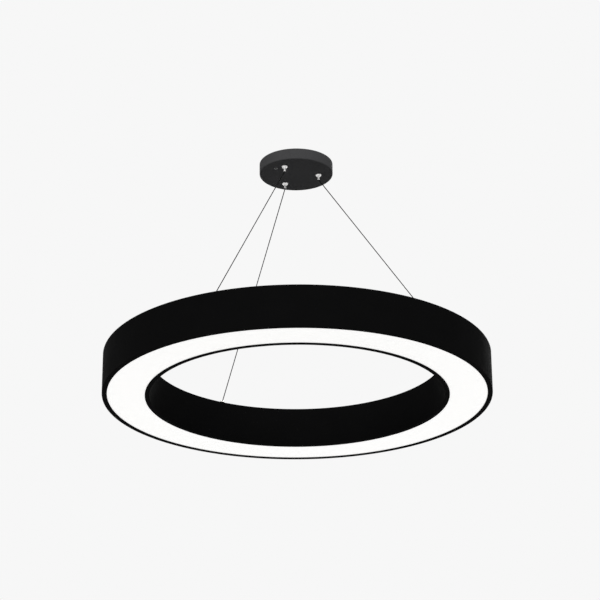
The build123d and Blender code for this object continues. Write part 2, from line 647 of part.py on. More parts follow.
def ceiling_bracket():
    """Steel strip with bent tabs, ceiling slots, a supply hole and tapped holes."""
    # The canopy wall is round, so the flat tabs stand where their corners clear it
    half_length = sqrt((CANOPY_RADIUS - CANOPY_SHEET - BRACKET_SIDE_GAP) ** 2 - (BRACKET_WIDTH / 2) ** 2)
    outside = Box(2 * half_length, BRACKET_WIDTH, BRACKET_TAB_DROP, align=HANG)
    outside = fillet(outside.edges().filter_by(Axis.Y).group_by(Axis.Z)[-1], 1.5 * BRACKET_THICKNESS)
    inside_length = 2 * (half_length - BRACKET_THICKNESS)
    inside = Box(inside_length, BRACKET_WIDTH, BRACKET_TAB_DROP - BRACKET_THICKNESS, align=HANG)
    inside = fillet(inside.edges().filter_by(Axis.Y).group_by(Axis.Z)[-1], BRACKET_THICKNESS / 2)
    strip = outside - Pos(0, 0, -BRACKET_THICKNESS) * inside
    slot = extrude(SlotOverall(BRACKET_SLOT_LENGTH, BRACKET_SLOT_WIDTH), -BRACKET_THICKNESS)
    for side in (-1, 1):
        strip -= Pos(side * BRACKET_SLOT_SPACING / 2, 0, 0) * slot
    earth_hole = rod(EARTH_SCREW_RADIUS + THREAD_CLEARANCE, -BRACKET_THICKNESS, 0)
    strip -= Pos(EARTH_SCREW_POSITION, 0, 0) * earth_hole
    fixing = rod(TERMINAL_FIXING_RADIUS + THREAD_CLEARANCE, -BRACKET_THICKNESS, 0)
    strip -= Pos(*terminal_fixing_place()) * fixing
    grub_hole = Rot(0, 90, 0) * Cylinder(GRUB_RADIUS + THREAD_CLEARANCE, CANOPY_DIAMETER)
    return strip - Pos(0, 0, -GRUB_HEIGHT) * grub_hole


def grub_screw():
    """Headless screw with a hexagon socket, flush with the canopy wall at azimuth 0."""
    screw = rod(GRUB_RADIUS, 0, GRUB_LENGTH) - hexagon(GRUB_SOCKET, GRUB_LENGTH - GRUB_SOCKET, GRUB_LENGTH)
    flush = sqrt(CANOPY_RADIUS**2 - GRUB_RADIUS**2)
    return Pos(flush - GRUB_LENGTH, 0, -GRUB_HEIGHT) * Rot(0, 90, 0) * screw


def flex_outlet():
    """Snap-in bush where the mains flex leaves the canopy, its flange below the cup floor."""
    barb = CANOPY_SHEET + 2 * THREAD_CLEARANCE
    tip = barb + OUTLET_FLANGE_HEIGHT
    bush = lathe(
        (OUTLET_BORE, -OUTLET_FLANGE_HEIGHT),
        (OUTLET_FLANGE_RADIUS - OUTLET_FLANGE_HEIGHT / 2, -OUTLET_FLANGE_HEIGHT),
        (OUTLET_FLANGE_RADIUS, -OUTLET_FLANGE_HEIGHT / 2),
        (OUTLET_FLANGE_RADIUS, 0),
        (OUTLET_NECK_RADIUS, 0),
        (OUTLET_NECK_RADIUS, barb),
        (OUTLET_NECK_RADIUS + 4 * THREAD_CLEARANCE, barb),
        (OUTLET_NECK_RADIUS - 4 * THREAD_CLEARANCE, tip),
        (OUTLET_BORE, tip),
    )
    return out_at(OUTLET_CIRCLE_RADIUS, OUTLET_AZIMUTH, Pos(0, 0, -CANOPY_HEIGHT) * bush)


def canopy_fittings():
    """The cup, the bracket and what is fixed to them, apart from the grippers."""
    earth = rod(EARTH_SCREW_HEAD_RADIUS, -BRACKET_THICKNESS - EARTH_SCREW_HEAD_HEIGHT, -BRACKET_THICKNESS)
    earth += rod(EARTH_SCREW_RADIUS, -BRACKET_THICKNESS, -THREAD_CLEARANCE)
    nodes = {
        "canopy_cup": [canopy_cup()],
        "ceiling_bracket": [ceiling_bracket()],
        "canopy_grub_screws": [Rot(0, 0, a) * grub_screw() for a in (0, 180)],
        "earth_screw": [Pos(EARTH_SCREW_POSITION, 0, 0) * earth],
        "flex_outlet_bush": [flex_outlet()],
    }
    hang_over = Pos(0, 0, -BRACKET_THICKNESS) * Rot(180, 0, 0)
    for piece, shapes in terminal_block(BRACKET_THICKNESS).items():
        nodes["terminal_" + piece] = [hang_over * shape for shape in shapes]
    return nodes


# Wire gripper, made with the cup's underside at height 0


def taper_radius(height):
    """Radius of the gripping taper inside the shank."""
    return PLUNGER_HOLE + (GRIPPER_CHAMBER_RADIUS - PLUNGER_HOLE) * height / GRIPPER_TAPER_HEIGHT


def gripper_body():
    """Coned head below the canopy and a threaded shank through it, bored to a taper and a spring chamber."""
    return lathe(
        (PLUNGER_HOLE, -GRIPPER_HEAD_HEIGHT),
        (GRIPPER_NOSE_RADIUS, -GRIPPER_HEAD_HEIGHT),
        (GRIPPER_HEAD_RADIUS, -GRIPPER_HEAD_RIM),
        (GRIPPER_HEAD_RADIUS, 0),
        (GRIPPER_SHANK_RADIUS, 0),
        (GRIPPER_SHANK_RADIUS, GRIPPER_SHANK_LENGTH),
        (GRIPPER_CHAMBER_RADIUS, GRIPPER_SHANK_LENGTH),
        (GRIPPER_CHAMBER_RADIUS, GRIPPER_TAPER_HEIGHT),
        (PLUNGER_HOLE, 0),
    )


def ball_radius():
    """Ball that fills the space between the wire and the taper, less a clearance on both sides."""
    return (taper_radius(BALL_HEIGHT) - WIRE_RADIUS) / 2 - BALL_CLEARANCE


def ball_offset():
    """Distance of each ball's centre from the wire's axis."""
    return WIRE_RADIUS + BALL_CLEARANCE + ball_radius()


def plunger():
    """Release nipple and ball cage in one piece, with a flared mouth and three ball pockets."""
    cage = lathe(
        (PLUNGER_BORE + PLUNGER_MOUTH, -NIPPLE_REACH),
        (NIPPLE_RADIUS - NIPPLE_EDGE, -NIPPLE_REACH),
        (NIPPLE_RADIUS, NIPPLE_EDGE - NIPPLE_REACH),
        (NIPPLE_RADIUS, 0),
        (GRIPPER_CHAMBER_RADIUS - PLUNGER_CLEARANCE, GRIPPER_TAPER_HEIGHT),
        (PLUNGER_BORE, GRIPPER_TAPER_HEIGHT),
        (PLUNGER_BORE, PLUNGER_MOUTH - NIPPLE_REACH),
    )
    pocket = Cylinder(ball_radius() + THREAD_CLEARANCE, GRIPPER_CHAMBER_RADIUS, align=BASE)
    for azimuth in round_pattern(3):
        cage -= Pos(0, 0, BALL_HEIGHT) * Rot(0, 0, azimuth) * Rot(0, 90, 0) * pocket
    return cage


def gripper_balls():
    """The three balls that bite on the wire."""
    ball = Pos(ball_offset(), 0, BALL_HEIGHT) * Sphere(ball_radius())
    return [Rot(0, 0, azimuth) * ball for azimuth in round_pattern(3)]


def coil_path(radius, rise, half_turns):
    """Coil that climbs about Z by a rise each half turn, every half turn drawn as two tangent arcs."""
    slope = atan2(rise, pi * radius)
    flat, steep = cos(slope), sin(slope)
    handle = (sqrt((2 * radius * flat) ** 2 + rise**2) - rise * steep) / (2 * flat**2)
    arcs = []
    for index in range(half_turns):
        side = 1 if index % 2 == 0 else -1
        start = Vector(side * radius, 0, index * rise)
        end = Vector(-side * radius, 0, (index + 1) * rise)
        leaving = Vector(0, side * flat, steep)
        first_handle = start + leaving * handle
        last_handle = end - Vector(0, -side * flat, steep) * handle
        middle = (first_handle + last_handle) / 2
        arcs.append(TangentArc(start, middle, tangent=leaving))
        arcs.append(TangentArc(middle, end, tangent=last_handle - first_handle))
    return Wire(arcs)


def gripper_spring():
    """Coil spring between the cage and the cap."""
    low = GRIPPER_TAPER_HEIGHT + SPRING_WIRE_RADIUS + THREAD_CLEARANCE
    height = CAP_BOTTOM - GRIPPER_TAPER_HEIGHT - 2 * (SPRING_WIRE_RADIUS + THREAD_CLEARANCE)
    path = coil_path(SPRING_RADIUS, height / SPRING_HALF_TURNS, SPRING_HALF_TURNS)
    section = Plane(origin=path @ 0, z_dir=path % 0) * Circle(SPRING_WIRE_RADIUS)
    return Pos(0, 0, low) * sweep(section, path=path)


def gripper_nut():
    """Nut and washer that clamp the shank on the cup floor."""
    washer_top = CANOPY_SHEET + GRIPPER_WASHER_THICKNESS
    nut_top = washer_top + GRIPPER_NUT_HEIGHT
    hole = GRIPPER_SHANK_RADIUS + THREAD_CLEARANCE
    washer = sleeve(GRIPPER_WASHER_RADIUS, hole, CANOPY_SHEET, washer_top)
    return hexagon(GRIPPER_NUT_FLATS, washer_top, nut_top) - rod(hole, washer_top, nut_top), washer


def wire_tail():
    """Held end of the wire: up the gripper's bore, over a bend and along inside the canopy."""
    start = WIRE_RADIUS + WIRE_PIVOT_GAP - NIPPLE_REACH
    bend_top = GRIPPER_SHANK_LENGTH + WIRE_TAIL_BEND
    route = [(0, 0, start), (0, 0, bend_top), (0, WIRE_TAIL_LENGTH, bend_top)]
    path = FilletPolyline(*route, radius=WIRE_TAIL_BEND)
    section = Plane(origin=path @ 0, z_dir=path % 0) * Circle(WIRE_RADIUS)
    return sweep(section, path=path)


def in_canopy(azimuth, shape):
    """A gripper's shape, moved to its hole in the cup floor."""
    return out_at(GRIPPER_CIRCLE_RADIUS, azimuth, Pos(0, 0, -CANOPY_HEIGHT) * shape)


def grippers():
    """The three grippers, each turned so that its wire's tail runs along the canopy wall."""
    nut, washer = gripper_nut()
    cap = sleeve(GRIPPER_CHAMBER_RADIUS - THREAD_CLEARANCE, CAP_BORE, CAP_BOTTOM, GRIPPER_SHANK_LENGTH)
    azimuths = ANCHOR_AZIMUTHS.values()
    nodes = {
        "gripper_caps": [in_canopy(a, cap) for a in azimuths],
        "gripper_nuts": [in_canopy(a, nut) for a in azimuths],
        "gripper_washers": [in_canopy(a, washer) for a in azimuths],
    }
    for letter, azimuth in ANCHOR_AZIMUTHS.items():
        nodes["gripper_body_" + letter] = [in_canopy(azimuth, gripper_body())]
        nodes["gripper_plunger_" + letter] = [in_canopy(azimuth, plunger())]
        nodes["gripper_balls_" + letter] = [in_canopy(azimuth, ball) for ball in gripper_balls()]
        nodes["gripper_spring_" + letter] = [in_canopy(azimuth, gripper_spring())]
        nodes["wire_tail_" + letter] = [in_canopy(azimuth, wire_tail())]
    return nodes


# Free spans of the wires, in the whole light's frame


def suspension_wires():
    """Each wire from the nipple's mouth to the ball swaged on its end, both at azimuth 0 before turning."""
    pivot = (GRIPPER_CIRCLE_RADIUS, 0, PIVOT_HEIGHT)
    ball = (ANCHOR_CIRCLE_RADIUS, 0, BALL_END_LEVEL)
    overrun = (BALL_END_RADIUS - WIRE_RADIUS) / WIRE_SPAN
    end = tuple(b + overrun * (b - p) for p, b in zip(pivot, ball))
    span = bar_between(WIRE_RADIUS, pivot, end) + Pos(*pivot) * Sphere(WIRE_RADIUS)
    swage = Pos(*ball) * Sphere(BALL_END_RADIUS)
    swage -= bar_between(WIRE_RADIUS + BALL_SWAGE_CLEARANCE, pivot, end)
    nodes = {}
    for letter, azimuth in ANCHOR_AZIMUTHS.items():
        nodes["wire_" + letter] = [Rot(0, 0, azimuth) * span]
        nodes["wire_end_" + letter] = [Rot(0, 0, azimuth) * swage]
    return nodes


def main():
    os.makedirs("parts", exist_ok=True)
    ring = {**ring_housing(), **light_engine(), **anchors(), **flex_gland()}
    for name, shapes in ring.items():
        save(name, *[Pos(0, 0, RING_BOTTOM) * shape for shape in shapes])
    for name, shapes in {**canopy_fittings(), **grippers(), **suspension_wires()}.items():
        save(name, *shapes)
    print("wire span", round(WIRE_SPAN, 3), "lean", round(WIRE_LEAN, 3))
    print("wire tail bend radius", WIRE_TAIL_BEND)


main()
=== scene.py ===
import json
from math import atan2, cos, hypot, pi, radians, sin, tau

import bmesh
import bpy
from mathutils import Matrix, Vector


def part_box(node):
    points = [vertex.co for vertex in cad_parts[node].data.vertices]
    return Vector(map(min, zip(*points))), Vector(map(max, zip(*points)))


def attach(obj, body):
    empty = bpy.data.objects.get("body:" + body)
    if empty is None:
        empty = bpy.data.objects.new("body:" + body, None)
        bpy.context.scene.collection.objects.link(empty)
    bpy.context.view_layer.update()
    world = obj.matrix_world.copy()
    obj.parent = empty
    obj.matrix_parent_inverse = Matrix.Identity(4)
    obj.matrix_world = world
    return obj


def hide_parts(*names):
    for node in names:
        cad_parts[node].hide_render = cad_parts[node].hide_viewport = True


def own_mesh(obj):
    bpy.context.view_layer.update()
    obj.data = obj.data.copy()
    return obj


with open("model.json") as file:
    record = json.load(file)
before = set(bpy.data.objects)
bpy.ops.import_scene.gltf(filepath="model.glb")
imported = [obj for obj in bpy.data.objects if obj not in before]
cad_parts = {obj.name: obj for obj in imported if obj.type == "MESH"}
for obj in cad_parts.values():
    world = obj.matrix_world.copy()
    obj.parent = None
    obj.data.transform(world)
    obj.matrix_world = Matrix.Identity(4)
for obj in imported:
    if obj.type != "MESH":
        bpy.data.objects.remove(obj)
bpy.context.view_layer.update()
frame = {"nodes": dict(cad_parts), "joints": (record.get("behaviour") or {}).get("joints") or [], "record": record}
NODES = frame["nodes"]
JOINTS = {joint["name"]: joint for joint in frame["joints"]}
SLOT_OF_NODE = {part["node"]: part["material_slot"] for part in frame["record"]["subparts"]}
LETTERS = "abc"
UP = Vector((0, 0, 1))

# Lengths are in metres, and a value whose name ends in ANGLE is in degrees

# Ring
RING_LOW, RING_HIGH = (corner.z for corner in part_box("outer_hoop"))
OUTER_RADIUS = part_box("outer_hoop")[1].x
INNER_RADIUS = min(hypot(v.co.x, v.co.y) for v in NODES["inner_hoop"].data.vertices)
MIDDLE_RADIUS = (OUTER_RADIUS + INNER_RADIUS) / 2
HALF_WIDTH = (OUTER_RADIUS - INNER_RADIUS) / 2
HOOP_WALL = 0.002
OUTER_LIP = 0.0105
INNER_LIP = 0.0095
LIP_THICKNESS = 0.0015
FLANGE_WIDTH = 0.014
FLANGE_THICKNESS = 0.002
COVER_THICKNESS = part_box("top_cover")[1].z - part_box("top_cover")[0].z
HOOP_EDGE = 0.0006
HOOP_STEPS = 360
GLAND_EDGE = 0.0003
TOWARDS_AXIS, AWAY_FROM_AXIS = -1, 1

# Glow of the opal sheet, and the share of HALF_WIDTH at which it starts to dim towards the walls
OPAL_GLOW = 0.66
OPAL_GLOW_AT_WALLS = 0.64
OPAL_DIM_START = 0.72

# Screws on the ring
SCREW_SHANK_RADIUS = 0.0015
SCREW_HEAD_RADIUS = 0.003
SCREW_HEAD_HEIGHT = 0.0018
SCREW_TIP_CHAMFER = 0.0003
SCREW_FOOT_CHAMFER = 0.0001
SCREW_DOME_WIDTH = 0.00135
SCREW_DOME_RISE = 0.0009
SCREW_DOME_STEPS = 4
SCREW_STEPS = 48
SCREW_TURN = 0.7
SOCKET_RADIUS = 0.00125
SOCKET_DEPTH = 0.0011
SOCKET_LOBES = 6
SOCKET_LOBE_SHARE = 0.14

# Hollow screws that trap the wire ends, with heights above the middle of the ball
WIRE_CLEARANCE = 0.00035
RETAINER_SEAT = 0.0030
RETAINER_THREAD_RADIUS = 0.00315
RETAINER_TIP_CHAMFER = 0.00025
RETAINER_HEAD_LOW = 0.0070
RETAINER_HEAD_HIGH = 0.0105
RETAINER_FOOT_CHAMFER = 0.0003
RETAINER_CROWN_WIDTH = 0.0004
RETAINER_CROWN_HEIGHT = 0.0005
RETAINER_MOUTH = 0.0005
KNURL_RADIUS = 0.0046
KNURL_DEPTH = 0.0002
KNURL_RIDGES = 48

# Canopy
CANOPY_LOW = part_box("canopy_cup")[0].z
FITTING_EDGE = 0.0002

# Grippers, with heights above the canopy's underside
GRIPPER_HOLE_RADIUS = 0.00235
GRIPPER_NOSE_RADIUS = 0.0034
GRIPPER_NOSE_HEIGHT = -0.0045
GRIPPER_CONE_RADIUS = 0.0050
GRIPPER_CONE_HEIGHT = -0.0031
GRIPPER_RIM_HEIGHT = -0.0012
GRIPPER_SHANK_RADIUS = 0.0040
GRIPPER_SHANK_HEIGHT = 0.013
GRIPPER_CHAMBER_RADIUS = 0.0032
GRIPPER_TAPER_HEIGHT = 0.005
GRIPPER_EDGE = 0.00022
GRIPPER_STEPS = 96
SPRING_WIRE_RADIUS = 0.0002
SPRING_SIDES = 10
SPRING_TURNS = 4
SPRING_TURN_STEPS = 28
CLOSED_TURN_RISE = 0.00041

# Wires
WIRE_DIAMETER = 0.002
WIRE_LAY = 0.011
STRAND_COUNT = 6
STRAND_RADIUS = WIRE_DIAMETER / 6
STRAND_REACH = WIRE_DIAMETER / 3
STRAND_SHARP_ANGLE = 75.0
SPAN_LEAD = 6 * WIRE_DIAMETER
SPAN_STEPS = 230
TAIL_START = -0.0102
TAIL_BEND = 0.0075
TAIL_BEND_TOP = 0.0205
TAIL_LENGTH = 0.030
TAIL_STEPS = 20

# Mesh work: the weld distance, and the angles below which faces are one and above which edges stay sharp
WELD = 1e-6
FLAT_ANGLE = 0.5
SHARP_ANGLE = 50.0
BROAD_FACE_WEIGHT = 100

# Finishes: most of a noise lies between these two values
NOISE_LOW, NOISE_HIGH = 0.3, 0.7
RELIEF_STRENGTH = 0.6
EVEN = (1.0, 1.0, 1.0)

# Camera, fitted to the photograph, with its sensor in millimetres and its turns in radians
FOCAL_PIXELS = 2051.26
FRAME_PIXELS = 600
SENSOR_WIDTH = 36.0
CAMERA_PITCH = 0.3941
CAMERA_ROLL = -0.006
CAMERA_YAW = -0.0020
CAMERA_RADII_AWAY = Vector((0.0366, -9.9115, -3.5741))
CAMERA_PLACE = CAMERA_RADII_AWAY * OUTER_RADIUS + Vector((0, 0, RING_LOW))
CAMERA_REACH = 100.0

# Stage, with a tone for the floor and the world as seen, and a lower one for the light they give
FLOOR_LEVEL = -0.9
FLOOR_REACH = 40.0
FLOOR_TONE = 0.9
FLOOR_BOUNCE = 0.38
BACKGROUND = 0.93
AMBIENT = 0.42


# Materials


def new_material(name, colour, roughness, metallic=0.0, specular=0.5):
    """A material with a principled shader and plain values, and its node tree and shader."""
    material = bpy.data.materials.new(name)
    material.use_nodes = True
    shader = material.node_tree.nodes["Principled BSDF"]
    shader.inputs["Base Color"].default_value = (*colour, 1.0)
    shader.inputs["Roughness"].default_value = roughness
    shader.inputs["Metallic"].default_value = metallic
    shader.inputs["Specular IOR Level"].default_value = specular
    return material, material.node_tree, shader


def surface_noise(tree, scale, detail=2.0, stretch=EVEN):
    """Noise over the object's own coordinates, in patches of about one over the scale, in metres."""
    place = tree.nodes.new("ShaderNodeTexCoord")
    mapping = tree.nodes.new("ShaderNodeMapping")
    mapping.inputs["Scale"].default_value = stretch
    noise = tree.nodes.new("ShaderNodeTexNoise")
    noise.inputs["Scale"].default_value = scale
    noise.inputs["Detail"].default_value = detail
    tree.links.new(place.outputs["Object"], mapping.inputs["Vector"])
    tree.links.new(mapping.outputs["Vector"], noise.inputs["Vector"])
    return noise.outputs["Fac"]


def spread(tree, value, low, high):
    """A noise value stretched to run from low to high."""
    node = tree.nodes.new("ShaderNodeMapRange")
    node.inputs["From Min"].default_value = NOISE_LOW
    node.inputs["From Max"].default_value = NOISE_HIGH
    node.inputs["To Min"].default_value = low
    node.inputs["To Max"].default_value = high
    tree.links.new(value, node.inputs["Value"])
    return node.outputs["Result"]


def mottle(tree, shader, scale, amount):
    """Makes the base colour a little lighter and darker in patches."""
    colour = tuple(shader.inputs["Base Color"].default_value)
    mix = tree.nodes.new("ShaderNodeMix")
    mix.data_type = "RGBA"
    mix.blend_type = "MULTIPLY"
    mix.inputs["Factor"].default_value = 1.0
    first, second = (socket for socket in mix.inputs if socket.type == "RGBA")
    first.default_value = colour
    tree.links.new(spread(tree, surface_noise(tree, scale), 1 - amount, 1 + amount), second)
    output = next(socket for socket in mix.outputs if socket.type == "RGBA")
    tree.links.new(output, shader.inputs["Base Color"])


def uneven_gloss(tree, shader, scale, low, high, stretch=EVEN):
    """Makes the roughness run from low to high in patches."""
    noise = surface_noise(tree, scale, detail=3.0, stretch=stretch)
    tree.links.new(spread(tree, noise, low, high), shader.inputs["Roughness"])


def grain(tree, shader, scale, depth, stretch=EVEN):
    """Fine relief of the given depth, in metres."""
    bump = tree.nodes.new("ShaderNodeBump")
    bump.inputs["Strength"].default_value = RELIEF_STRENGTH
    bump.inputs["Distance"].default_value = depth
    tree.links.new(surface_noise(tree, scale, stretch=stretch), bump.inputs["Height"])
    tree.links.new(bump.outputs["Normal"], shader.inputs["Normal"])


def painted(name, colour, roughness, specular, peel):
    """Powder coat or paint: fine orange peel, a slightly uneven sheen and colour."""
    material, tree, shader = new_material(name, colour, roughness, specular=specular)
    mottle(tree, shader, scale=18.0, amount=0.05)
    uneven_gloss(tree, shader, scale=35.0, low=roughness - 0.04, high=roughness + 0.04)
    grain(tree, shader, scale=peel, depth=0.00004)
    return material


def plated(name, colour, low, high):
    """Bright plated or bare metal with faint wipe marks, its roughness from low to high."""
    material, tree, shader = new_material(name, colour, low, metallic=1.0)
    mottle(tree, shader, scale=120.0, amount=0.04)
    uneven_gloss(tree, shader, scale=260.0, low=low, high=high, stretch=(1.0, 1.0, 5.0))
    return material


def rolled(name, colour, low, high):
    """Mill-finished sheet with lines along one direction, its roughness from low to high."""
    material, tree, shader = new_material(name, colour, low, metallic=1.0)
    mottle(tree, shader, scale=30.0, amount=0.06)
    uneven_gloss(tree, shader, scale=180.0, low=low, high=high, stretch=(1.0, 12.0, 1.0))
    grain(tree, shader, scale=400.0, depth=0.00002, stretch=(1.0, 14.0, 1.0))
    return material


def moulded(name, colour, roughness, specular=0.4):
    """Moulded plastic with a fine spark texture."""
    material, tree, shader = new_material(name, colour, roughness, specular=specular)
    mottle(tree, shader, scale=60.0, amount=0.04)
    uneven_gloss(tree, shader, scale=90.0, low=roughness - 0.05, high=roughness + 0.05)
    grain(tree, shader, scale=1800.0, depth=0.00003)
    return material


def opal_acrylic():
    """Frosted opal sheet, lit from behind and a touch dimmer beside the two walls."""
    material, tree, shader = new_material("opal_acrylic", (0.83, 0.83, 0.82), roughness=0.5, specular=0.3)
    place = tree.nodes.new("ShaderNodeTexCoord")
    split = tree.nodes.new("ShaderNodeSeparateXYZ")
    flat = tree.nodes.new("ShaderNodeCombineXYZ")
    radius = tree.nodes.new("ShaderNodeVectorMath")
    radius.operation = "LENGTH"
    offset = tree.nodes.new("ShaderNodeMath")
    offset.operation = "SUBTRACT"
    offset.inputs[1].default_value = MIDDLE_RADIUS
    away = tree.nodes.new("ShaderNodeMath")
    away.operation = "ABSOLUTE"
    dim = tree.nodes.new("ShaderNodeMapRange")
    dim.interpolation_type = "SMOOTHSTEP"
    dim.inputs["From Min"].default_value = HALF_WIDTH * OPAL_DIM_START
    dim.inputs["From Max"].default_value = HALF_WIDTH
    dim.inputs["To Min"].default_value = OPAL_GLOW
    dim.inputs["To Max"].default_value = OPAL_GLOW_AT_WALLS
    links = tree.links
    links.new(place.outputs["Object"], split.inputs["Vector"])
    links.new(split.outputs["X"], flat.inputs["X"])
    links.new(split.outputs["Y"], flat.inputs["Y"])
    links.new(flat.outputs["Vector"], radius.inputs[0])
    links.new(radius.outputs["Value"], offset.inputs[0])
    links.new(offset.outputs["Value"], away.inputs[0])
    links.new(away.outputs["Value"], dim.inputs["Value"])
    links.new(dim.outputs["Result"], shader.inputs["Emission Strength"])
    shader.inputs["Emission Color"].default_value = (1.0, 0.995, 0.985, 1.0)
    grain(tree, shader, scale=2200.0, depth=0.00002)
    return material


def make_materials():
    """One finish for each material slot of the record, and for the anchors on the ring a more polished copy of the
    same nickel, made darker as painted shade under the overhead light.
    """
    return {
        "ring_black": painted("matte_black_powder_coat", (0.0041, 0.0041, 0.0042),
                              roughness=0.75, specular=0.0075, peel=1500.0),
        "opal": opal_acrylic(),
        "canopy_grey": painted("dark_grey_satin_paint", (0.0645, 0.0645, 0.0665),
                               roughness=0.6, specular=0.012, peel=1800.0),
        # Grippers and anchors are one nickel. The anchors' copy has a darker colour, painted shade where the
        # overhead light falls on top of the ring, and is less rough.
        "polished_nickel": plated("bright_satin_nickel", (0.95, 0.945, 0.935), low=0.5, high=0.6),
        "shaded_anchor_nickel": plated("polished_nickel", (0.60, 0.58, 0.55), low=0.2, high=0.28),
        "wire_steel": painted("blackened_wire", (0.006, 0.006, 0.006),
                              roughness=0.55, specular=0.06, peel=2500.0),
        "zinc_steel": plated("bright_zinc", (0.50, 0.51, 0.53), low=0.38, high=0.5),
        "black_steel": painted("black_oxide", (0.012, 0.012, 0.012),
                               roughness=0.4, specular=0.3, peel=2500.0),
        "hard_steel": plated("hardened_steel", (0.58, 0.58, 0.59), low=0.12, high=0.2),
        "plain_aluminium": rolled("mill_aluminium", (0.78, 0.78, 0.79), low=0.3, high=0.42),
        "white_board": moulded("white_solder_mask", (0.82, 0.82, 0.80), roughness=0.35),
        "led_phosphor": moulded("led_phosphor", (0.88, 0.70, 0.24), roughness=0.4),
        "white_plastic": moulded("white_plastic", (0.74, 0.74, 0.71), roughness=0.45),
        "black_nylon": moulded("black_nylon", (0.013, 0.013, 0.013), roughness=0.5, specular=0.3),
        "grey_nylon": moulded("grey_nylon", (0.16, 0.16, 0.16), roughness=0.45),
        "black_rubber": moulded("black_rubber", (0.014, 0.014, 0.014), roughness=0.7, specular=0.2),
        "brass": plated("plain_brass", (0.78, 0.58, 0.26), low=0.24, high=0.34),
    }


MATERIALS = make_materials()
# These nodes take the darker nickel copy, painted shade under the overhead light
ANCHOR_NODES = ("anchor_domes", "anchor_retainers")


def finish_of(node):
    """The finish of a node, and of the piece that stands for it."""
    return MATERIALS["shaded_anchor_nickel" if node in ANCHOR_NODES else SLOT_OF_NODE[node]]


def dress_nodes():
    """Gives every carried-over node its finish."""
    for name, node in NODES.items():
        node.data.materials.clear()
        node.data.materials.append(finish_of(name))


# Piece makers


def place_piece(name, mesh, body, *nodes):
    """Links a finished mesh as a piece that rides on a body, stands for nodes and takes their finish."""
    piece = bpy.data.objects.new(name, mesh)
    bpy.context.scene.collection.objects.link(piece)
    mesh.materials.clear()
    mesh.materials.append(finish_of(nodes[0]))
    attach(piece, body)
    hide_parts(*nodes)
    return piece


def to_mesh(name, bm, sharp_angle=SHARP_ANGLE):
    """A mesh from a bmesh, which is freed, shaded smooth up to its sharp edges."""
    mesh = bpy.data.meshes.new(name)
    for face in bm.faces:
        face.smooth = True
    for edge in bm.edges:
        edge.smooth = edge.calc_face_angle(0.0) < radians(sharp_angle)
    bm.to_mesh(mesh)
    bm.free()
    return mesh


def even_shading(piece):
    """Keeps broad faces flat beside their rounded edges."""
    modifier = piece.modifiers.new("even_shading", "WEIGHTED_NORMAL")
    modifier.weight = BROAD_FACE_WEIGHT
    modifier.keep_sharp = True


def round_edges(bm, radius, segments, least_angle=25.0):
    """Rounds every edge that turns by more than the least angle."""
    joined = [edge for edge in bm.edges if len(edge.link_faces) == 2]
    sharp = [edge for edge in joined if edge.calc_face_angle(0.0) > radians(least_angle)]
    bmesh.ops.bevel(bm, geom=sharp, offset=radius, offset_type="OFFSET", segments=segments, profile=0.5,
                    affect="EDGES", clamp_overlap=True, material=-1)


def turned(profile, steps):
    """A closed body turned about Z from (radius, height) corners."""
    bm = bmesh.new()
    corners = [bm.verts.new((radius, 0.0, height)) for radius, height in profile]
    sides = [bm.edges.new((a, b)) for a, b in zip(corners, corners[1:] + corners[:1])]
    bmesh.ops.spin(bm, geom=corners + sides, cent=(0, 0, 0), axis=UP, angle=tau, steps=steps, use_merge=True)
    bmesh.ops.remove_doubles(bm, verts=bm.verts[:], dist=WELD)
    bmesh.ops.delete(bm, geom=[edge for edge in bm.edges if not edge.link_faces], context="EDGES")
    bmesh.ops.recalc_face_normals(bm, faces=bm.faces[:])
    return bm


def add_shape(bm, mesh, matrix):
    """Adds a copy of a mesh to a bmesh, moved and turned."""
    count = len(bm.verts)
    bm.from_mesh(mesh)
    bmesh.ops.transform(bm, matrix=matrix, verts=bm.verts[count:])


def box_centre(node):
    """Middle of a node's box."""
    low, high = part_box(node)
    return (low + high) / 2


def welded_copy(node):
    """A node's mesh as a bmesh of joined faces, with flat areas in one face."""
    bm = bmesh.new()
    bm.from_mesh(NODES[node].data)
    bmesh.ops.remove_doubles(bm, verts=bm.verts[:], dist=WELD)
    bmesh.ops.dissolve_limit(bm, angle_limit=radians(FLAT_ANGLE), verts=bm.verts[:], edges=bm.edges[:])
    return bm


def solids_of(node):
    """Lowest and highest corners of each separate solid in a node, in a steady order."""
    bm = welded_copy(node)
    left = set(bm.verts)
    boxes = []
    while left:
        reached = [left.pop()]
        for vert in reached:
            near = [edge.other_vert(vert) for edge in vert.link_edges]
            fresh = [other for other in near if other in left]
            left.difference_update(fresh)
            reached += fresh
        columns = list(zip(*(vert.co for vert in reached)))
        boxes.append((Vector(map(min, columns)), Vector(map(max, columns))))
    bm.free()
    return sorted(boxes, key=lambda box: tuple(box[0]))


def soften(node, body, radius):
    """Puts a copy with rounded edges in place of a node."""
    bm = welded_copy(node)
    round_edges(bm, radius, segments=2, least_angle=30.0)
    name = "rounded_" + node
    even_shading(place_piece(name, to_mesh(name, bm), body, node))


# Ring


def hoop(face_radius, lip, inward):
    """Hoop wall with its bottom lip and top flange, as a turned body."""
    back = face_radius + inward * HOOP_WALL
    lip_end = face_radius + inward * lip
    flange_end = back + inward * FLANGE_WIDTH
    seat = RING_HIGH - COVER_THICKNESS
    profile = [
        (face_radius, RING_LOW),
        (lip_end, RING_LOW),
        (lip_end, RING_LOW + LIP_THICKNESS),
        (back, RING_LOW + LIP_THICKNESS),
        (back, seat - FLANGE_THICKNESS),
        (flange_end, seat - FLANGE_THICKNESS),
        (flange_end, seat),
        (back, seat),
        (back, RING_HIGH),
        (face_radius, RING_HIGH),
    ]
    bm = turned(profile, HOOP_STEPS)
    round_edges(bm, HOOP_EDGE, segments=3)
    return bm


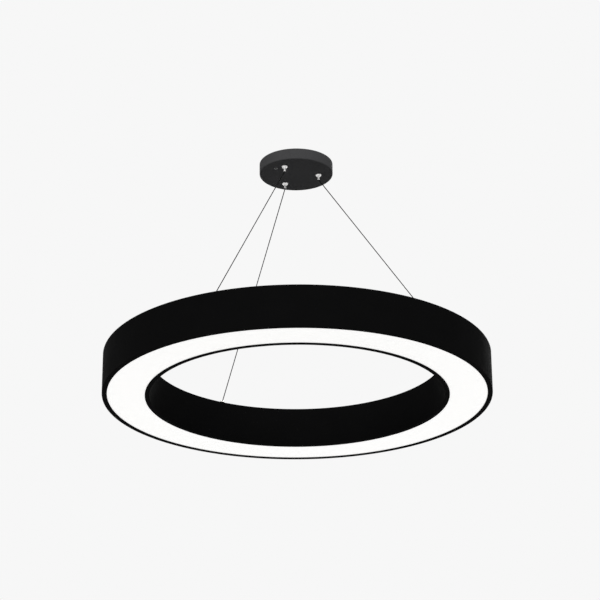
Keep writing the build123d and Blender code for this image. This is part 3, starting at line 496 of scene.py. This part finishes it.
def make_walls():
    """The outer and inner wall of the ring."""
    walls = (
        ("outer_wall", "outer_hoop", OUTER_RADIUS, OUTER_LIP, TOWARDS_AXIS),
        ("inner_wall", "inner_hoop", INNER_RADIUS, INNER_LIP, AWAY_FROM_AXIS),
    )
    for name, node, radius, lip, inward in walls:
        even_shading(place_piece(name, to_mesh(name, hoop(radius, lip, inward)), "ring", node))


def make_opal_sheet():
    """The opal sheet that lies on the lips of the two walls."""
    low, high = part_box("diffuser")
    outer = high.x
    inner = INNER_RADIUS + OUTER_RADIUS - outer
    bm = turned([(inner, low.z), (outer, low.z), (outer, high.z), (inner, high.z)], HOOP_STEPS)
    round_edges(bm, HOOP_EDGE, segments=2)
    even_shading(place_piece("opal_sheet", to_mesh("opal_sheet", bm), "ring", "diffuser"))


# Screws on the ring


def screw_dome():
    """Quarter ellipse from the side of a screw's head up to the rim of its flat top."""
    for step in range(SCREW_DOME_STEPS + 1):
        bend = pi / 2 * step / SCREW_DOME_STEPS
        radius = SCREW_HEAD_RADIUS - SCREW_DOME_WIDTH * (1 - cos(bend))
        yield radius, SCREW_HEAD_HEIGHT - SCREW_DOME_RISE * (1 - sin(bend))


def lobed_screw(shank_length):
    """Pan head screw with a domed top and a lobed socket, its seat at height 0 and its head above."""
    socket_floor = SCREW_HEAD_HEIGHT - SOCKET_DEPTH
    profile = [
        (0.0, -shank_length),
        (SCREW_SHANK_RADIUS - SCREW_TIP_CHAMFER, -shank_length),
        (SCREW_SHANK_RADIUS, SCREW_TIP_CHAMFER - shank_length),
        (SCREW_SHANK_RADIUS, 0.0),
        (SCREW_HEAD_RADIUS - SCREW_FOOT_CHAMFER, 0.0),
        (SCREW_HEAD_RADIUS, SCREW_FOOT_CHAMFER),
        *screw_dome(),
        (SOCKET_RADIUS, SCREW_HEAD_HEIGHT),
        (SOCKET_RADIUS, socket_floor),
        (0.0, socket_floor),
    ]
    bm = turned(profile, SCREW_STEPS)
    for vert in bm.verts:
        if vert.co.z > socket_floor - WELD and hypot(vert.co.x, vert.co.y) < SOCKET_RADIUS + WELD:
            swell = 1 + SOCKET_LOBE_SHARE * cos(SOCKET_LOBES * atan2(vert.co.y, vert.co.x))
            vert.co.x *= swell
            vert.co.y *= swell
    return to_mesh("screw", bm)


def make_screws(name, node):
    """Every screw of a node, heads where the node has them, each stopped at its own turn."""
    bm = bmesh.new()
    for index, (low, high) in enumerate(solids_of(node)):
        middle = (low + high) / 2
        shape = lobed_screw(high.z - low.z - SCREW_HEAD_HEIGHT)
        head_up = high.z > RING_HIGH
        seat = high.z - SCREW_HEAD_HEIGHT if head_up else low.z + SCREW_HEAD_HEIGHT
        flip = Matrix.Rotation(0.0 if head_up else pi, 4, "X")
        turn = Matrix.Rotation(index * SCREW_TURN, 4, "Z")
        add_shape(bm, shape, Matrix.Translation((middle.x, middle.y, seat)) @ turn @ flip)
        bpy.data.meshes.remove(shape)
    place_piece(name, to_mesh(name, bm), "ring", node)


def knurled_retainer():
    """Hollow screw with a straight knurl round its head, along Z with the middle of the ball at height 0."""
    bore = WIRE_DIAMETER / 2 + WIRE_CLEARANCE
    profile = [
        (bore, RETAINER_SEAT),
        (RETAINER_THREAD_RADIUS - RETAINER_TIP_CHAMFER, RETAINER_SEAT),
        (RETAINER_THREAD_RADIUS, RETAINER_SEAT + RETAINER_TIP_CHAMFER),
        (RETAINER_THREAD_RADIUS, RETAINER_HEAD_LOW),
        (KNURL_RADIUS - RETAINER_FOOT_CHAMFER, RETAINER_HEAD_LOW),
        (KNURL_RADIUS, RETAINER_HEAD_LOW + RETAINER_FOOT_CHAMFER),
        (KNURL_RADIUS, RETAINER_HEAD_HIGH - RETAINER_CROWN_HEIGHT),
        (KNURL_RADIUS - RETAINER_CROWN_WIDTH, RETAINER_HEAD_HIGH),
        (bore + RETAINER_MOUTH, RETAINER_HEAD_HIGH),
        (bore, RETAINER_HEAD_HIGH - RETAINER_MOUTH),
    ]
    steps = 2 * KNURL_RIDGES
    bm = turned(profile, steps)
    for vert in bm.verts:
        radius = hypot(vert.co.x, vert.co.y)
        step = round(atan2(vert.co.y, vert.co.x) / tau * steps)
        if radius > KNURL_RADIUS - WELD and step % 2:
            vert.co.x *= 1 - KNURL_DEPTH / radius
            vert.co.y *= 1 - KNURL_DEPTH / radius
    return to_mesh("retainer", bm)


def make_retainers():
    """The three hollow screws, each leaning along its wire."""
    shape = knurled_retainer()
    bm = bmesh.new()
    for letter in LETTERS:
        ball = box_centre("wire_end_" + letter)
        wire = Vector(JOINTS["span_%s_tilt" % letter]["pos_m"]) - ball
        lean = UP.rotation_difference(wire).to_matrix().to_4x4()
        add_shape(bm, shape, Matrix.Translation(ball) @ lean)
    bpy.data.meshes.remove(shape)
    place_piece("knurled_retainers", to_mesh("knurled_retainers", bm), "ring", "anchor_retainers")


# Wires


def new_curve(name):
    """An empty curve in space."""
    curve = bpy.data.curves.new(name, "CURVE")
    curve.dimensions = "3D"
    return curve


def add_spline(curve, kind, points):
    """Adds a spline of the given kind with the given points."""
    spline = curve.splines.new(kind)
    spline.points.add(len(points) - 1)
    for point, place in zip(spline.points, points):
        point.co = (*place, 1.0)
    return spline


def curve_mesh(curve):
    """The mesh that a curve makes. The curve itself is removed."""
    holder = bpy.data.objects.new(curve.name, curve)
    mesh = bpy.data.meshes.new_from_object(holder)
    bpy.data.objects.remove(holder)
    bpy.data.curves.remove(curve)
    return mesh


def smooth_route(points, resolution):
    """Points along the smooth line that a route's points steer."""
    curve = new_curve("route")
    curve.resolution_u = resolution
    spline = add_spline(curve, "NURBS", points)
    spline.order_u = 3
    spline.use_endpoint_u = True
    mesh = curve_mesh(curve)
    line = [vertex.co.copy() for vertex in mesh.vertices]
    bpy.data.meshes.remove(mesh)
    return line


def rope(name, line, side):
    """A laid rope of strands round a core, along a line that lies in one plane with the given normal."""
    curve = new_curve(name)
    curve.bevel_depth = STRAND_RADIUS
    curve.bevel_resolution = 1
    curve.use_fill_caps = True
    strands = [[] for _ in range(STRAND_COUNT)]
    run = 0.0
    for index, place in enumerate(line):
        before, after = line[max(index - 1, 0)], line[min(index + 1, len(line) - 1)]
        run += (place - before).length
        across = (after - before).normalized().cross(side)
        for number, strand in enumerate(strands):
            turn = tau * (number / STRAND_COUNT + run / WIRE_LAY)
            strand.append(place + (side * cos(turn) + across * sin(turn)) * STRAND_REACH)
    for strand in strands + [line]:
        add_spline(curve, "POLY", strand)
    tubes = curve_mesh(curve)
    bm = bmesh.new()
    bm.from_mesh(tubes)
    bpy.data.meshes.remove(tubes)
    bmesh.ops.remove_doubles(bm, verts=bm.verts[:], dist=WELD)
    bmesh.ops.recalc_face_normals(bm, faces=bm.faces[:])
    return to_mesh(name, bm, STRAND_SHARP_ANGLE)


def make_span(letter):
    """The free length of a wire, from the mouth of its nipple to the ball in the anchor."""
    start = Vector(JOINTS["span_%s_tilt" % letter]["pos_m"])
    end = box_centre("wire_end_" + letter)
    along = (end - start).normalized()
    lead = along * SPAN_LEAD
    line = smooth_route([start, start + lead, end - lead, end], SPAN_STEPS)
    side = along.cross(UP).normalized()
    name = "wire_rope_" + letter
    piece = place_piece(name, rope(name, line, side), "span_" + letter, "wire_" + letter)


def make_tail(letter):
    """The held end of a wire: up through its gripper, over a bend and along inside the canopy."""
    foot = box_centre("gripper_body_" + letter)
    outward = Vector((foot.x, foot.y, 0)).normalized()
    turn = Matrix((outward, UP.cross(outward), UP)).transposed()
    base = Vector((foot.x, foot.y, CANOPY_LOW))
    route = [
        (0, 0, TAIL_START),
        (0, 0, TAIL_BEND_TOP - 2 * TAIL_BEND),
        (0, 0, TAIL_BEND_TOP),
        (0, 2 * TAIL_BEND, TAIL_BEND_TOP),
        (0, TAIL_LENGTH, TAIL_BEND_TOP),
    ]
    points = [base + turn @ Vector(place) for place in route]
    line = smooth_route(points, TAIL_STEPS)
    name = "wire_tail_rope_" + letter
    piece = place_piece(name, rope(name, line, outward), "canopy", "wire_tail_" + letter)


# Grippers


def make_gripper(letter):
    """Coned gripper body with softened edges, at its hole in the canopy."""
    node = "gripper_body_" + letter
    low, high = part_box(node)
    head = (high.x - low.x) / 2
    profile = [
        (GRIPPER_HOLE_RADIUS, GRIPPER_NOSE_HEIGHT),
        (GRIPPER_NOSE_RADIUS, GRIPPER_NOSE_HEIGHT),
        (GRIPPER_CONE_RADIUS, GRIPPER_CONE_HEIGHT),
        (head, GRIPPER_RIM_HEIGHT),
        (head, 0.0),
        (GRIPPER_SHANK_RADIUS, 0.0),
        (GRIPPER_SHANK_RADIUS, GRIPPER_SHANK_HEIGHT),
        (GRIPPER_CHAMBER_RADIUS, GRIPPER_SHANK_HEIGHT),
        (GRIPPER_CHAMBER_RADIUS, GRIPPER_TAPER_HEIGHT),
        (GRIPPER_HOLE_RADIUS, 0.0),
    ]
    bm = turned(profile, GRIPPER_STEPS)
    round_edges(bm, GRIPPER_EDGE, segments=3, least_angle=12.0)
    centre = box_centre(node)
    bmesh.ops.translate(bm, verts=bm.verts[:], vec=(centre.x, centre.y, CANOPY_LOW))
    name = "gripper_cone_" + letter
    even_shading(place_piece(name, to_mesh(name, bm), "canopy", node))


def make_spring(letter):
    """Coil spring with a closed turn at each end."""
    node, joint = "gripper_spring_" + letter, "plunger_%s_press" % letter
    low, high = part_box(node)
    foot = box_centre("gripper_body_" + letter)
    coil_radius = (high.x - low.x) / 2 - SPRING_WIRE_RADIUS
    bm = bmesh.new()
    bmesh.ops.create_circle(bm, segments=SPRING_SIDES, radius=SPRING_WIRE_RADIUS)
    upright = Matrix.Rotation(pi / 2, 4, "X")
    to_start = Matrix.Translation((coil_radius, 0.0, low.z + SPRING_WIRE_RADIUS))
    bmesh.ops.transform(bm, matrix=to_start @ upright, verts=bm.verts[:])
    section = bm.verts[:] + bm.edges[:]
    open_rise = high.z - low.z - 2 * SPRING_WIRE_RADIUS - 2 * CLOSED_TURN_RISE
    for turns, rise in ((1, CLOSED_TURN_RISE), (SPRING_TURNS, open_rise), (1, CLOSED_TURN_RISE)):
        steps = turns * SPRING_TURN_STEPS
        section = bmesh.ops.spin(bm, geom=section, cent=(0, 0, 0), axis=UP, dvec=UP * rise / steps,
                                 angle=turns * tau, steps=steps)["geom_last"]
    bmesh.ops.holes_fill(bm, edges=[edge for edge in bm.edges if edge.is_boundary])
    bmesh.ops.recalc_face_normals(bm, faces=bm.faces[:])
    bmesh.ops.translate(bm, verts=bm.verts[:], vec=(foot.x, foot.y, 0.0))
    name = "release_spring_" + letter
    piece = place_piece(name, to_mesh(name, bm), "canopy", node)
    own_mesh(piece)


# Small fittings


def soften_fittings():
    """Rounds the edges of the gland on the ring and of the fittings in the canopy."""
    for node in ("gland_body", "gland_cap"):
        soften(node, "ring", GLAND_EDGE)
    for node in ("ceiling_bracket", "terminal_block", "gripper_nuts", "gripper_washers", "flex_outlet_bush"):
        soften(node, "canopy", FITTING_EDGE)


# Stage, light and camera


def soft_light(name, place, strength, softness):
    """Even light from the direction of a place, from a distant lamp as wide as its softness, in radians."""
    data = bpy.data.lights.new(name, "SUN")
    data.energy = strength
    data.angle = softness
    lamp = bpy.data.objects.new(name, data)
    lamp.rotation_euler = Vector(place).to_track_quat("Z", "Y").to_euler()
    bpy.context.scene.collection.objects.link(lamp)


def make_lights():
    """One soft lamp overhead, a stronger one in front and one behind."""
    soft_light("overhead_light", place=(0.08, 0.36, 0.93), strength=1.0, softness=0.4)
    soft_light("front_light", place=(-0.07, -1.0, 0.19), strength=1.95, softness=0.6)
    soft_light("back_light", place=(0.14, 1.0, 0.35), strength=1.0, softness=0.7)


def seen_directly(tree):
    """1 for rays from the camera, or off metal or through glass, and 0 for the rays that light things."""
    path = tree.nodes.new("ShaderNodeLightPath")
    either = tree.nodes.new("ShaderNodeMath")
    either.operation = "MAXIMUM"
    any_of = tree.nodes.new("ShaderNodeMath")
    any_of.operation = "MAXIMUM"
    tree.links.new(path.outputs["Is Camera Ray"], either.inputs[0])
    tree.links.new(path.outputs["Is Glossy Ray"], either.inputs[1])
    tree.links.new(either.outputs["Value"], any_of.inputs[0])
    tree.links.new(path.outputs["Is Transmission Ray"], any_of.inputs[1])
    return any_of.outputs["Value"]


def make_world():
    """Pale where it is seen, and a plain soft light from all round."""
    world = bpy.data.worlds.new("studio")
    world.use_nodes = True
    bpy.context.scene.world = world
    tree = world.node_tree
    ambient = tree.nodes["Background"]
    ambient.inputs["Color"].default_value = (1, 1, 1, 1)
    ambient.inputs["Strength"].default_value = AMBIENT
    pale = tree.nodes.new("ShaderNodeBackground")
    pale.inputs["Color"].default_value = (1, 1, 1, 1)
    pale.inputs["Strength"].default_value = BACKGROUND
    mix = tree.nodes.new("ShaderNodeMixShader")
    tree.links.new(seen_directly(tree), mix.inputs["Fac"])
    tree.links.new(ambient.outputs["Background"], mix.inputs[1])
    tree.links.new(pale.outputs["Background"], mix.inputs[2])
    tree.links.new(mix.outputs["Shader"], tree.nodes["World Output"].inputs["Surface"])


def floor_paint():
    """Matte pale paint, clear when looked at from underneath."""
    material, tree, shader = new_material("floor_paint", (FLOOR_TONE,) * 3, roughness=0.9, specular=0.0)
    tone = tree.nodes.new("ShaderNodeMapRange")
    tone.inputs["To Min"].default_value = FLOOR_BOUNCE
    tone.inputs["To Max"].default_value = FLOOR_TONE
    tree.links.new(seen_directly(tree), tone.inputs["Value"])
    tree.links.new(tone.outputs["Result"], shader.inputs["Base Color"])
    clear = tree.nodes.new("ShaderNodeBsdfTransparent")
    side = tree.nodes.new("ShaderNodeNewGeometry")
    mix = tree.nodes.new("ShaderNodeMixShader")
    tree.links.new(side.outputs["Backfacing"], mix.inputs["Fac"])
    tree.links.new(shader.outputs["BSDF"], mix.inputs[1])
    tree.links.new(clear.outputs["BSDF"], mix.inputs[2])
    tree.links.new(mix.outputs["Shader"], tree.nodes["Material Output"].inputs["Surface"])
    return material


def make_floor():
    """Plain pale floor well below the light."""
    bm = bmesh.new()
    bmesh.ops.create_grid(bm, x_segments=1, y_segments=1, size=FLOOR_REACH)
    bmesh.ops.translate(bm, verts=bm.verts[:], vec=(0, 0, FLOOR_LEVEL))
    floor = bpy.data.objects.new("floor", to_mesh("floor", bm))
    bpy.context.scene.collection.objects.link(floor)
    floor.data.materials.append(floor_paint())


def make_camera():
    """The photograph's viewpoint, from below and in front of the ring."""
    data = bpy.data.cameras.new("photo_camera")
    data.sensor_width = SENSOR_WIDTH
    data.lens = SENSOR_WIDTH * FOCAL_PIXELS / FRAME_PIXELS
    data.clip_end = CAMERA_REACH
    camera = bpy.data.objects.new("photo_camera", data)
    bpy.context.scene.collection.objects.link(camera)
    level = cos(CAMERA_PITCH)
    forward = Vector((sin(CAMERA_YAW) * level, cos(CAMERA_YAW) * level, sin(CAMERA_PITCH)))
    flat_right = Vector((cos(CAMERA_YAW), -sin(CAMERA_YAW), 0))
    flat_up = flat_right.cross(forward)
    right = flat_right * cos(CAMERA_ROLL) + flat_up * sin(CAMERA_ROLL)
    up = flat_up * cos(CAMERA_ROLL) - flat_right * sin(CAMERA_ROLL)
    turn = Matrix((right, up, -forward)).transposed().to_4x4()
    camera.matrix_world = Matrix.Translation(CAMERA_PLACE) @ turn
    bpy.context.scene.camera = camera


make_camera()
dress_nodes()
make_walls()
make_opal_sheet()
make_screws("cover_lobed_screws", "cover_screws")
make_screws("pillar_lobed_screws", "pillar_screws")
make_retainers()
for letter in LETTERS:
    make_span(letter)
    make_tail(letter)
    make_gripper(letter)
    make_spring(letter)
soften_fittings()
make_world()
make_floor()
make_lights()
bpy.context.scene.view_settings.view_transform = "Standard"
